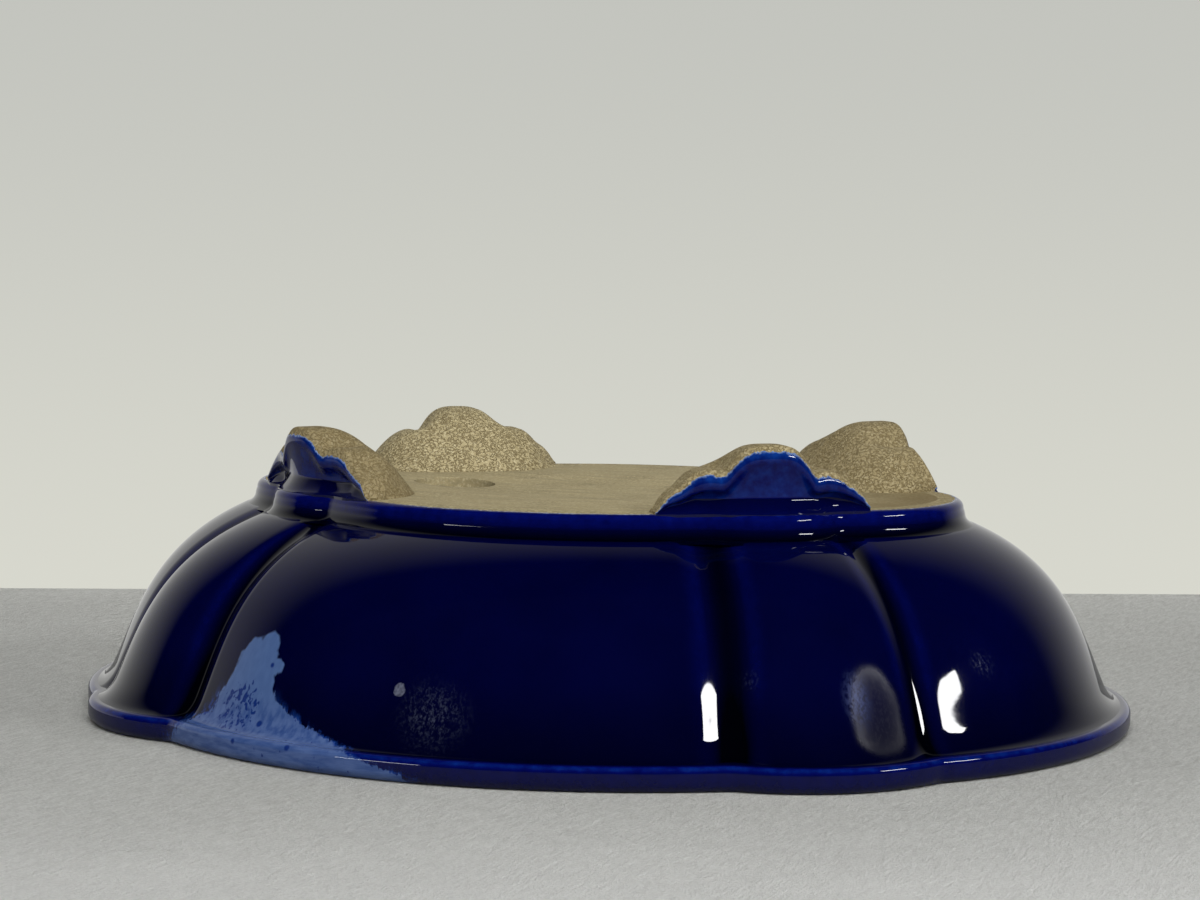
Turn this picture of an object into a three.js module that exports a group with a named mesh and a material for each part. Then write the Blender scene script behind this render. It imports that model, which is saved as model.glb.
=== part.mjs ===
// A mokko bonsai pot: shallow glazed stoneware, eight-lobed in plan, on four cloud feet.
// It is modelled upside down, resting on its rim with its feet in the air; in use it stands on the feet.
// Millimetres. X runs along the long sides, Z points up from the rim's face, and the origin is the
// middle of the mouth. A fired pot is one body of clay, so the pieces here are those the potter lutes
// together: a pressed wall, a rim strip, a collar round the base, a floor slab and four moulded feet.

import * as THREE from 'three';

// The plan at the rim. A quarter of it has two grooves, one beside the long side's lobe and one beside
// the end's lobe, and each lobe swells out of the straight line between its grooves.
const rimLongGrooveX = 65;
const rimLongGrooveY = 81.3;
const rimEndGrooveX = 98.6;
const rimEndGrooveY = 57.2;
const rimLongSwell = 19.6;
const rimEndSwell = 22.2;
const rimCornerSwell = 6.8;

// The plan at the shoulder, where the wall meets the base
const baseLongGrooveX = 47.1;
const baseLongGrooveY = 48.9;
const baseEndGrooveX = 70.6;
const baseEndGrooveY = 30.7;
const baseLongSwell = 15.6;
const baseEndSwell = 18.2;
const baseCornerSwell = 5.4;

// The wall
const wallHeight = 41.3;
const wallThickness = 6;
const wallEdge = 1.8; // its thin edge, luted to the floor under the collar
const wallGrooveRadius = 5;
const wallFootReach = 1.1; // how far it spreads onto the lip
const wallFootHeight = 4.5;

// The rim's strip
const lipHeight = 5.5;
const lipOverhang = 4.2;
const lipGrooveRadius = 11;
const lipTopRadius = 1.5;
const lipOuterRadius = 2.2;
const lipInnerRadius = 1.4;

// The collar round the base. Its face is set in from the shoulder's edge and flares out to meet it.
const collarHeight = 5.4;
const collarWidth = 7.7;
const collarInset = 1.5;
const collarFlareHeight = 2.2;
const collarEdgeRadius = 0.9;

// The drain holes in the floor
const drainDiameter = 19.5;
const drainSpacing = 76;

// The feet. Each is a cloud scroll: a middle lobe with a flat tread, and a lower lobe on either side,
// one towards the pot's long side and one towards its end.
const footHeight = 14.8;
const footSetback = 0.3; // from the collar's edge
const footShift = 1.4; // towards the long side
const footDepth = 22.8; // inward from the line between the two grooves that it spans
const footTipDepth = 8.4;
const footTipHeight = 1.8;
const footEdgeRadius = 1.3;
const treadHalfLength = 4.1;
const treadWidth = 5;
const treadSetback = 2.6; // inward from the line between the grooves
const longNotchReach = 9.5; // from the foot's middle
const longNotchHeight = 10.7;
const longTipReach = 22.5;
const endNotchReach = 12.2;
const endNotchHeight = 8.5;
const endTipReach = 22.5;

// Luted edges that follow the lobes stand this far apart
const seam = 0.3;

// How finely the curves are cut
const longSteps = 12;
const endSteps = 10;
const cornerSteps = 7;
const grooveSteps = 3;
const outerWallSteps = 12;
const innerWallSteps = 8;
const footSteps = 13; // on either side of the foot's middle

const shoulderZ = lipHeight + wallHeight;
const undersideZ = shoulderZ + collarHeight;
const floorZ = shoulderZ - wallEdge;

const rimPlan = {
  longGroove: new THREE.Vector2(rimLongGrooveX, rimLongGrooveY),
  endGroove: new THREE.Vector2(rimEndGrooveX, rimEndGrooveY),
  longSwell: rimLongSwell,
  endSwell: rimEndSwell,
  cornerSwell: rimCornerSwell,
};

const basePlan = {
  longGroove: new THREE.Vector2(baseLongGrooveX, baseLongGrooveY),
  endGroove: new THREE.Vector2(baseEndGrooveX, baseEndGrooveY),
  longSwell: baseLongSwell,
  endSwell: baseEndSwell,
  cornerSwell: baseCornerSwell,
};

// The plan part of the way from the rim (0) to the base (1)
function planBetween(share) {
  const mix = (key) => THREE.MathUtils.lerp(rimPlan[key], basePlan[key], share);
  return {
    longGroove: rimPlan.longGroove.clone().lerp(basePlan.longGroove, share),
    endGroove: rimPlan.endGroove.clone().lerp(basePlan.endGroove, share),
    longSwell: mix('longSwell'),
    endSwell: mix('endSwell'),
    cornerSwell: mix('cornerSwell'),
  };
}

// The circle through two grooves that stands `swell` outside the line between them
function lobeCircle(from, to, swell) {
  const chord = to.clone().sub(from);
  const half = chord.length() / 2;
  const radius = (half * half + swell * swell) / (2 * swell);
  const outward = new THREE.Vector2(chord.y, -chord.x).normalize();
  const centre = from.clone().lerp(to, 0.5).addScaledVector(outward, swell - radius);
  return { centre, radius };
}

// The centre of the small circle that lies in the groove between two lobes and touches both
function grooveCentre(before, after, grooveRadius) {
  const across = after.centre.clone().sub(before.centre);
  const distance = across.length();
  const toBefore = before.radius + grooveRadius;
  const toAfter = after.radius + grooveRadius;
  const along = (distance ** 2 + toBefore ** 2 - toAfter ** 2) / (2 * distance);
  const aside = Math.sqrt(toBefore ** 2 - along ** 2);
  across.normalize();
  const right = new THREE.Vector2(across.y, -across.x);
  return before.centre.clone().addScaledVector(across, along).addScaledVector(right, aside);
}

// Points on a circle from one direction to another, the short way round
function arcPoints(centre, radius, fromPoint, toPoint, steps) {
  const start = fromPoint.clone().sub(centre).angle();
  let turn = toPoint.clone().sub(centre).angle() - start;
  turn -= 2 * Math.PI * Math.round(turn / (2 * Math.PI));
  return Array.from({ length: steps + 1 }, (_, i) => {
    const angle = start + (turn * i) / steps;
    return new THREE.Vector2(Math.cos(angle), Math.sin(angle)).multiplyScalar(radius).add(centre);
  });
}

// The whole outline of a plan, anticlockwise from the front lobe's left groove, moved outward by `grow`
function outline(plan, grow, grooveRadius) {
  const corner = (point, signX, signY) => new THREE.Vector2(point.x * signX, point.y * signY);
  const { longGroove, endGroove, longSwell, endSwell, cornerSwell } = plan;
  const lobes = [
    [longGroove, -1, -1, longSwell, longSteps],
    [longGroove, 1, -1, cornerSwell, cornerSteps],
    [endGroove, 1, -1, endSwell, endSteps],
    [endGroove, 1, 1, cornerSwell, cornerSteps],
    [longGroove, 1, 1, longSwell, longSteps],
    [longGroove, -1, 1, cornerSwell, cornerSteps],
    [endGroove, -1, 1, endSwell, endSteps],
    [endGroove, -1, -1, cornerSwell, cornerSteps],
  ].map(([groove, signX, signY, swell, steps]) => ({ start: corner(groove, signX, signY), swell, steps }));
  lobes.forEach((lobe, i) => {
    Object.assign(lobe, lobeCircle(lobe.start, lobes[(i + 1) % lobes.length].start, lobe.swell));
  });
  const grooves = lobes.map((lobe, i) => grooveCentre(lobes.at(i - 1), lobe, grooveRadius));
  return lobes.flatMap((lobe, i) => {
    const next = (i + 1) % lobes.length;
    const swollen = arcPoints(lobe.centre, lobe.radius + grow, grooves[i], grooves[next], lobe.steps);
    const hollow = arcPoints(grooves[next], grooveRadius - grow, lobe.centre, lobes[next].centre, grooveSteps);
    return [...swollen, ...hollow.slice(1, -1)];
  });
}

// A closed surface through equal loops of points. Without caps the last loop joins the first.
function loft(loops, capContours = null) {
  const width = loops[0].length;
  const indices = [];
  const last = capContours ? loops.length - 1 : loops.length;
  for (let i = 0; i < last; i++) {
    for (let j = 0; j < width; j++) {
      const a = i * width + j;
      const b = i * width + ((j + 1) % width);
      const shift = (i + 1 === loops.length ? -i : 1) * width;
      indices.push(a, a + shift, b + shift, a, b + shift, b);
    }
  }
  if (capContours) {
    const [first, final] = capContours.map((contour) => THREE.ShapeUtils.triangulateShape(contour, []));
    const end = (loops.length - 1) * width;
    first.forEach(([a, b, c]) => indices.push(a, b, c));
    final.forEach(([a, b, c]) => indices.push(end + a, end + c, end + b));
  }
  const geometry = new THREE.BufferGeometry().setFromPoints(loops.flat());
  geometry.setIndex(indices);
  geometry.computeVertexNormals();
  return geometry;
}

// A ring round the pot from the outlines of its section, taken up the outside and down the inside
function ringFromOutlines(rings) {
  const loops = rings[0].points.map((_, i) => rings.map(({ points, z }) => {
    return new THREE.Vector3(points[i].x, points[i].y, z);
  }));
  return loft(loops);
}

// The wall leaves the rim steeply, leans in and rounds over into the shoulder: x is the share of its
// run from the rim to the base, y the share of its rise.
const wallProfile = new THREE.CubicBezierCurve(
  new THREE.Vector2(0, 0),
  new THREE.Vector2(0.2, 0.334),
  new THREE.Vector2(0.265, 0.763),
  new THREE.Vector2(1, 1),
);

function wallGeometry() {
  const rings = [];
  for (let i = 0; i <= outerWallSteps; i++) {
    // the steps are shorter near the rim, where the wall spreads onto the lip
    const { x: run, y: rise } = wallProfile.getPoint((i / outerWallSteps) ** 1.5);
    const height = rise * wallHeight;
    const spread = wallFootReach * Math.max(0, 1 - height / wallFootHeight) ** 2;
    rings.push({ points: outline(planBetween(run), spread, wallGrooveRadius), z: lipHeight + height });
  }
  const edgeGrow = seam - collarWidth;
  rings.push({ points: outline(basePlan, edgeGrow, wallGrooveRadius), z: shoulderZ });
  const innerRise = floorZ - lipHeight;
  for (let i = innerWallSteps; i >= 0; i--) {
    const { x: run, y: rise } = wallProfile.getPoint(i / innerWallSteps);
    const grow = THREE.MathUtils.lerp(-wallThickness, edgeGrow, run);
    rings.push({ points: outline(planBetween(run), grow, wallGrooveRadius), z: lipHeight + rise * innerRise });
  }
  return ringFromOutlines(rings);
}

// A quarter round in a ring's section, from one angle to another in degrees
function roundedEdge(outward, z, radius, fromDegrees, toDegrees, steps) {
  return Array.from({ length: steps + 1 }, (_, i) => {
    const angle = THREE.MathUtils.degToRad(THREE.MathUtils.lerp(fromDegrees, toDegrees, i / steps));
    return new THREE.Vector2(outward + radius * Math.cos(angle), z + radius * Math.sin(angle));
  });
}

function lipGeometry() {
  const section = [
    ...roundedEdge(lipOverhang - lipOuterRadius, lipOuterRadius, lipOuterRadius, -90, 0, 3),
    ...roundedEdge(lipOverhang - lipTopRadius, lipHeight - lipTopRadius, lipTopRadius, 0, 90, 2),
    new THREE.Vector2(-wallThickness, lipHeight),
    ...roundedEdge(lipInnerRadius - wallThickness, lipInnerRadius, lipInnerRadius, 180, 270, 2),
  ];
  return ringFromOutlines(section.map(({ x: grow, y: z }) => {
    // the inside follows the wall's grooves, the outside only hints at them
    const grooveRadius = grow > 0 ? lipGrooveRadius : wallGrooveRadius;
    return { points: outline(rimPlan, grow, grooveRadius), z };
  }));
}

function collarGeometry() {
  const flare = new THREE.QuadraticBezierCurve(
    new THREE.Vector2(0, shoulderZ),
    new THREE.Vector2(-0.9 * collarInset, shoulderZ + 0.2 * collarFlareHeight),
    new THREE.Vector2(-collarInset, shoulderZ + collarFlareHeight),
  );
  const edgeCentre = -collarInset - collarEdgeRadius;
  const section = [
    ...flare.getPoints(3),
    ...roundedEdge(edgeCentre, undersideZ - collarEdgeRadius, collarEdgeRadius, 0, 90, 3),
    new THREE.Vector2(seam - collarWidth, undersideZ),
    new THREE.Vector2(seam - collarWidth, shoulderZ),
  ];
  return ringFromOutlines(section.map(({ x: grow, y: z }) => {
    return { points: outline(basePlan, grow, wallGrooveRadius), z };
  }));
}

function floorGeometry() {
  const slab = new THREE.Shape(outline(basePlan, -collarWidth, wallGrooveRadius));
  for (const side of [-1, 1]) {
    const hole = new THREE.Path();
    hole.absarc((side * drainSpacing) / 2, 0, drainDiameter / 2, 0, 2 * Math.PI, true);
    slab.holes.push(hole);
  }
  const settings = { depth: undersideZ - floorZ, bevelEnabled: false, curveSegments: 28 };
  return new THREE.ExtrudeGeometry(slab, settings);
}

// The foot's height at a distance from its middle: a flat tread, a rounded middle lobe down to the
// notch, then a lower lobe that runs out to the tip.
function scrollHeightAt(distance, side) {
  const fall = (from, to, top, bottom, power) => {
    const share = THREE.MathUtils.clamp((distance - from) / (to - from), 0, 1);
    return top - (top - bottom) * share ** power;
  };
  if (distance <= side.notchReach) {
    return fall(treadHalfLength, side.notchReach, footHeight, side.notchHeight, 2.2);
  }
  return fall(side.notchReach, side.tipReach, side.notchHeight, footTipHeight, 1.7);
}

const longSide = { notchReach: longNotchReach, notchHeight: longNotchHeight, tipReach: longTipReach };
const endSide = { notchReach: endNotchReach, notchHeight: endNotchHeight, tipReach: endTipReach };

// A foot under the front right corner lobe, its flat bed at z = 0. It is lofted along the line
// between the lobe's two grooves: the outer face leans in and is slightly hollow, the inner one is full.
function footGeometry() {
  const start = new THREE.Vector2(baseLongGrooveX, -baseLongGrooveY);
  const end = new THREE.Vector2(baseEndGrooveX, -baseEndGrooveY);
  const along = end.clone().sub(start).normalize();
  const outward = new THREE.Vector2(along.y, -along.x);
  const middle = start.clone().lerp(end, 0.5).addScaledVector(along, -footShift);

  // the collar's edge in the foot's own directions, x along and y outward, for reading off its bed
  const edgeGrow = -collarInset - collarEdgeRadius - footSetback;
  const edge = outline(basePlan, edgeGrow, wallGrooveRadius)
    .map((point) => point.clone().sub(middle))
    .map((point) => new THREE.Vector2(point.dot(along), point.dot(outward)))
    .filter((point) => Math.abs(point.x) < 2 * longTipReach && point.y > -footDepth)
    .sort((a, b) => a.x - b.x);
  const edgeAt = (station) => {
    const i = edge.findIndex((point) => point.x > station);
    const share = (station - edge[i - 1].x) / (edge[i].x - edge[i - 1].x);
    return THREE.MathUtils.lerp(edge[i - 1].y, edge[i].y, share);
  };

  const contours = [];
  const loops = [];
  for (let i = -footSteps; i <= footSteps; i++) {
    const side = i < 0 ? longSide : endSide;
    const share = Math.abs(i) / footSteps;
    const station = (side.tipReach * i) / footSteps;
    const height = scrollHeightAt(Math.abs(station), side);
    const bed = edgeAt(station);
    const top = THREE.MathUtils.lerp(bed, -treadSetback, height / footHeight);
    const depth = THREE.MathUtils.lerp(footDepth, footTipDepth, share ** 4);
    const edgeRadius = Math.min(footEdgeRadius, height / 3);
    const innerTop = top - treadWidth;
    const outerFace = [[0.38, 0.22], [0.74, 0.5], [0.94, 0.78]].map(([lean, rise]) => {
      return new THREE.Vector2(THREE.MathUtils.lerp(bed, top, lean), (height - edgeRadius) * rise);
    });
    const innerFace = [0.3, 0.6, 0.85].map((inward) => {
      return new THREE.Vector2(THREE.MathUtils.lerp(innerTop, -depth, inward), height * (1 - inward ** 1.7));
    });
    const contour = [
      new THREE.Vector2(bed, 0),
      ...outerFace,
      new THREE.Vector2(top, height - edgeRadius),
      new THREE.Vector2(top - 0.3 * edgeRadius, height - 0.3 * edgeRadius),
      new THREE.Vector2(top - edgeRadius, height),
      new THREE.Vector2(innerTop, height),
      ...innerFace,
      new THREE.Vector2(-depth, 0),
    ];
    contours.push(contour);
    loops.push(contour.map(({ x: out, y: z }) => {
      const point = middle.clone().addScaledVector(along, station).addScaledVector(outward, out);
      return new THREE.Vector3(point.x, point.y, z);
    }));
  }
  return loft(loops, [contours[0], contours.at(-1)]);
}

// The same foot for another corner
function mirrored(geometry, signX, signY) {
  const copy = geometry.clone().scale(signX, signY, 1);
  if (signX * signY < 0) {
    const index = copy.index.array;
    for (let i = 0; i < index.length; i += 3) {
      [index[i + 1], index[i + 2]] = [index[i + 2], index[i + 1]];
    }
  }
  copy.computeVertexNormals();
  return copy;
}

const cobaltGlaze = new THREE.MeshStandardMaterial({ color: 0x0a1a6e, roughness: 0.08, metalness: 0 });
const bareClay = new THREE.MeshStandardMaterial({ color: 0x9b9073, roughness: 0.9, metalness: 0 });

function piece(name, geometry, material, z = 0) {
  const mesh = new THREE.Mesh(geometry, material.clone());
  mesh.name = name;
  mesh.position.z = z;
  return mesh;
}

const pot = new THREE.Group();
pot.add(
  piece('rim_lip', lipGeometry(), cobaltGlaze),
  piece('wall', wallGeometry(), cobaltGlaze),
  piece('base_band', collarGeometry(), cobaltGlaze),
  piece('floor_slab', floorGeometry(), bareClay, floorZ),
);

const feet = new THREE.Group();
feet.position.z = undersideZ;
const masterFoot = footGeometry();
for (const [name, signX, signY] of [
  ['foot_front_right', 1, 1],
  ['foot_front_left', -1, 1],
  ['foot_back_right', 1, -1],
  ['foot_back_left', -1, -1],
]) {
  feet.add(piece(name, mirrored(masterFoot, signX, signY), bareClay));
}
pot.add(feet);

export default pot;
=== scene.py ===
import math

import bmesh
import bpy
from mathutils import Matrix, Vector


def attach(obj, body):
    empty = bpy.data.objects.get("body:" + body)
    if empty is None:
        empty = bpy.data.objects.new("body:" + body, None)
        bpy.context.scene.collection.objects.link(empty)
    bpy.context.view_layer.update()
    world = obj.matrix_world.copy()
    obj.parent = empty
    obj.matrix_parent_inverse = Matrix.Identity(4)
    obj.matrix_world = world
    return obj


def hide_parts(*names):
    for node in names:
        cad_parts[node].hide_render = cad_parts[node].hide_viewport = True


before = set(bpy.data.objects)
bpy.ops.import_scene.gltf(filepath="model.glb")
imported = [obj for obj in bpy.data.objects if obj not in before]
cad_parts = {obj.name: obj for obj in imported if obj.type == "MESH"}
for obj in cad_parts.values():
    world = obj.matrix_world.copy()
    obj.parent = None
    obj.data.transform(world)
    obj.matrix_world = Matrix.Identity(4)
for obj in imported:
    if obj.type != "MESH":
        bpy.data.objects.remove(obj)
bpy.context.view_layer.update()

# The wall. Grog-speckled stoneware pressed into a mould: eight lobes between eight grooves, leaning in
# from the rim to the shoulder. It is dipped in cobalt glaze outside, and inside the glaze rolls only
# a little way past the rim.
MM = 0.001
lip_height = 5.5
wall_height = 41.3
wall_thickness = 6.0
wall_edge = 1.8
shoulder_z = lip_height + wall_height
collar_width = 7.7
seam = 0.3
# how far in and how far up the wall's curve comes from the rim to the shoulder
wall_curve = ((0, 0), (0.2, 0.334), (0.265, 0.763), (1, 1))
outer_rows = 46
inner_rows = 22
# the wall's foot sweeps out onto the lip
wall_foot_reach = 1.9
wall_foot_height = 4.2

# the plan at the rim and at the base: the grooves' places beside the long sides and the ends, and how far
# the long, corner and end lobes swell out between them
rim_plan = {"long": (65.0, 81.3), "end": (98.6, 57.2), "swells": (19.6, 6.8, 22.2)}
base_plan = {"long": (47.1, 48.9), "end": (70.6, 30.7), "swells": (15.6, 5.4, 18.2)}
lobe_steps = (110, 48, 100)
step_crowding = 0.12
groove_radius = 5.0
groove_steps = 8
# each groove's channel, its depth and half width, from the front left groove round to the left end's
channels = ((1.7, 6.4), (2.1, 9.0), (0.6, 6.4), (1.2, 6.4), (1.2, 6.4), (1.2, 6.4), (1.2, 6.4), (1.6, 6.4))

# how far inside the glaze's edge a place lies where that edge is far away, and how far into the bowl the
# glaze reaches
well_glazed = 20
well_bare = -20.0
inside_glaze_z = 14.0
# how thin the glaze runs, less than nought where it pools above the lip and down the channels
foot_pool = 0.38
foot_pool_height = 15
channel_pool = 0.55
channel_edge_thin = 0.7
inside_thin = 0.2


def between(low, high, share):
    return low + (high - low) * share


def plan_lobes(share):
    """The eight lobes of the plan part of the way from the rim (0) to the base (1)."""
    corner = {}
    for key in ("long", "end"):
        corner[key] = [between(a, b, share) for a, b in zip(rim_plan[key], base_plan[key])]
    swells = [between(a, b, share) for a, b in zip(rim_plan["swells"], base_plan["swells"])]
    order = [("long", -1, -1, 0), ("long", 1, -1, 1), ("end", 1, -1, 2), ("end", 1, 1, 1),
             ("long", 1, 1, 0), ("long", -1, 1, 1), ("end", -1, 1, 2), ("end", -1, -1, 1)]
    starts = [Vector((corner[key][0] * sx, corner[key][1] * sy)) for key, sx, sy, _ in order]
    lobes = []
    for i, (_, _, _, kind) in enumerate(order):
        start, end = starts[i], starts[(i + 1) % 8]
        chord = end - start
        swell = swells[kind]
        radius = ((chord.length / 2) ** 2 + swell ** 2) / (2 * swell)
        outward = Vector((chord.y, -chord.x)).normalized()
        lobes.append(((start + end) / 2 + outward * (swell - radius), radius, lobe_steps[kind]))
    return lobes


def groove_centre(before, after, radius):
    """The centre of the small circle that lies between two lobes and touches both."""
    across = after[0] - before[0]
    reach = before[1] + radius
    along = (across.length_squared + reach ** 2 - (after[1] + radius) ** 2) / (2 * across.length)
    aside = math.sqrt(reach ** 2 - along ** 2)
    across.normalize()
    return before[0] + across * along + Vector((across.y, -across.x)) * aside


def sweep(centre, start, end, shares):
    """Directions from a centre, turning the short way from one point to another."""
    first = math.atan2(start.y - centre.y, start.x - centre.x)
    turn = math.atan2(end.y - centre.y, end.x - centre.x) - first
    turn -= math.tau * round(turn / math.tau)
    return turn, [Vector((math.cos(first + turn * t), math.sin(first + turn * t))) for t in shares]


def outline(share, grow, radius=groove_radius, channelled=False):
    """The plan's outline moved outward by grow, with its channels sunk in where it is channelled. Each
    point's third number is how far down its channel it lies, from nought to one."""
    lobes = plan_lobes(share)
    grooves = [groove_centre(lobes[i - 1], lobes[i], radius) for i in range(8)]

    points = []

    def put(groove, distance, middle, direction, reach, side):
        depth, half_width = channels[groove]
        down = 0.5 * (1 + math.cos(math.pi * min(1.0, distance / half_width)))
        moved = grow - (depth * down if channelled else 0.0)
        point = middle + direction * (reach + side * moved)
        points.append(Vector((point.x, point.y, down)))

    for i, (centre, lobe_radius, steps) in enumerate(lobes):
        following = (i + 1) % 8
        # the steps are shorter beside the grooves
        shares = [s / steps - step_crowding * math.sin(math.tau * s / steps) for s in range(steps + 1)]
        hollow_turn, hollow = sweep(grooves[following], centre, lobes[following][0],
                                    [s / groove_steps for s in range(1, groove_steps)])
        half_groove = abs(hollow_turn) * radius / 2
        turn, swollen = sweep(centre, grooves[i], grooves[following], shares)
        length = abs(turn) * lobe_radius
        for t, direction in zip(shares, swollen):
            away = half_groove + length * min(t, 1 - t)
            put(i if t < 0.5 else following, away, centre, direction, lobe_radius, 1)
        for s, direction in enumerate(hollow, start=1):
            away = half_groove * abs(1 - 2 * s / groove_steps)
            put(following, away, grooves[following], direction, radius, -1)
    return points


def bezier(points, t):
    """A point on a quadratic or cubic curve."""
    points = [Vector(p) for p in points]
    while len(points) > 1:
        points = [a.lerp(b, t) for a, b in zip(points, points[1:])]
    return points[0]


def deselect_all():
    """An operator acts on all that is selected, so each new piece starts from here."""
    bpy.ops.object.select_all(action="DESELECT")


def loft(name, rows, closed, smooth_degrees=40):
    """A closed body wound through equal rows of points. A point is (x, y, z, glaze, thin): glaze is how
    far it lies inside the glaze's edge and thin is how thin the glaze runs there. Both are carried along
    as attributes, and so is how far inside the milky run it lies. A closed loft joins its last row to
    its first, an open one is capped."""
    deselect_all()
    bpy.ops.mesh.primitive_circle_add(vertices=len(rows[0]), radius=0.05)
    piece = bpy.context.object
    piece.name = piece.data.name = name
    bpy.ops.object.mode_set(mode="EDIT")
    bpy.ops.mesh.select_mode(type="VERT")
    bpy.ops.mesh.select_all(action="SELECT")
    mesh = bmesh.from_edit_mesh(piece.data)
    mesh.verts.layers.int.new("station")
    for key in ("glaze", "thin", "milk"):
        mesh.verts.layers.float.new(key)
    station = mesh.verts.layers.int["station"]
    mesh.verts.ensure_lookup_table()
    for i, vertex in enumerate(mesh.verts):
        vertex[station] = i
    bmesh.update_edit_mesh(piece.data)
    for number, row in enumerate(rows):
        if number:
            bpy.ops.mesh.extrude_region_move()
        mesh = bmesh.from_edit_mesh(piece.data)
        station = mesh.verts.layers.int["station"]
        glaze, thin, milk = (mesh.verts.layers.float[key] for key in ("glaze", "thin", "milk"))
        for vertex in mesh.verts:
            if vertex.select:
                x, y, z, vertex[glaze], vertex[thin] = row[vertex[station]]
                vertex.co = (x * MM, y * MM, z * MM)
                vertex[milk] = milk_at(x, y, z)
        bmesh.update_edit_mesh(piece.data)
    bpy.ops.mesh.select_all(action="DESELECT")
    bpy.ops.mesh.select_non_manifold(extend=False, use_wire=False, use_boundary=True,
                                     use_multi_face=False, use_non_contiguous=False, use_verts=False)
    if closed:
        bpy.ops.mesh.bridge_edge_loops()
    else:
        bpy.ops.mesh.edge_face_add()
    bpy.ops.mesh.select_all(action="SELECT")
    bpy.ops.mesh.normals_make_consistent(inside=False)
    bpy.ops.object.mode_set(mode="OBJECT")
    bpy.ops.object.shade_smooth_by_angle(angle=math.radians(smooth_degrees))
    return piece


# the milky run on the long side, x and z in millimetres: the two edges from its neck down onto the lip,
# and the rounds at its tip, their middles and radii
milk_edges = (
    [(-46.6, 23.0), (-49.2, 21.5), (-50.4, 17.0), (-53.6, 11.5), (-55.0, 8.2), (-61.0, 5.8), (-64.2, 2.3),
     (-66.0, -1.0)],
    [(-38.2, 23.0), (-37.6, 21.2), (-36.9, 15.6), (-35.6, 12.9), (-27.6, 9.2), (-17.8, 6.5), (-8.0, 4.0),
     (2.0, 1.5), (4.0, -1.0)],
)
milk_rounds = ((-40.8, 22.9, 3.3), (-44.6, 21.6, 3.1), (-37.2, 19.2, 1.7))
far_from_milk = -50.0


def milk_at(x, y, z):
    """How far inside the milky run a point lies, negative outside it."""
    if y > 0:
        return far_from_milk

    def edge_at(edge):
        for (x0, z0), (x1, z1) in zip(edge, edge[1:]):
            if z0 >= z >= z1:
                return between(x0, x1, (z0 - z) / (z0 - z1))
        return edge[-1][0]

    inside = [radius - math.hypot(x - middle_x, z - middle_z) for middle_x, middle_z, radius in milk_rounds]
    left, right = milk_edges
    if z < left[0][1]:
        inside.append(min(x - edge_at(left), edge_at(right) - x, left[0][1] - z + 0.5))
    return max(inside)


rows = []
for i in range(outer_rows + 1):
    # the rows lie closer together towards the lip
    run, rise = bezier(wall_curve, (i / outer_rows) ** 1.25)
    height = rise * wall_height
    swept = min(1.0, height / wall_foot_height)
    spread = wall_foot_reach * (1 - math.sqrt(max(0.0, 1 - (1 - swept) ** 2)))
    pooled = -foot_pool * max(0.0, 1 - height / foot_pool_height)
    row = []
    for p in outline(run, spread, channelled=True):
        thin = pooled - channel_pool * p.z ** 3 + channel_edge_thin * p.z * (1 - p.z)
        row.append((p.x, p.y, lip_height + height, well_glazed, thin))
    rows.append(row)
edge_grow = seam - collar_width
rows.append([(p.x, p.y, shoulder_z, well_glazed, 0) for p in outline(1, edge_grow)])
inner_rise = shoulder_z - wall_edge - lip_height
for i in range(inner_rows, -1, -1):
    run, rise = bezier(wall_curve, i / inner_rows)
    grow = between(-wall_thickness, edge_grow, run)
    height = lip_height + rise * inner_rise
    rows.append([(p.x, p.y, height, inside_glaze_z - height, inside_thin) for p in outline(run, grow)])
wall = loft("pot_wall", rows, closed=True)


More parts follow.
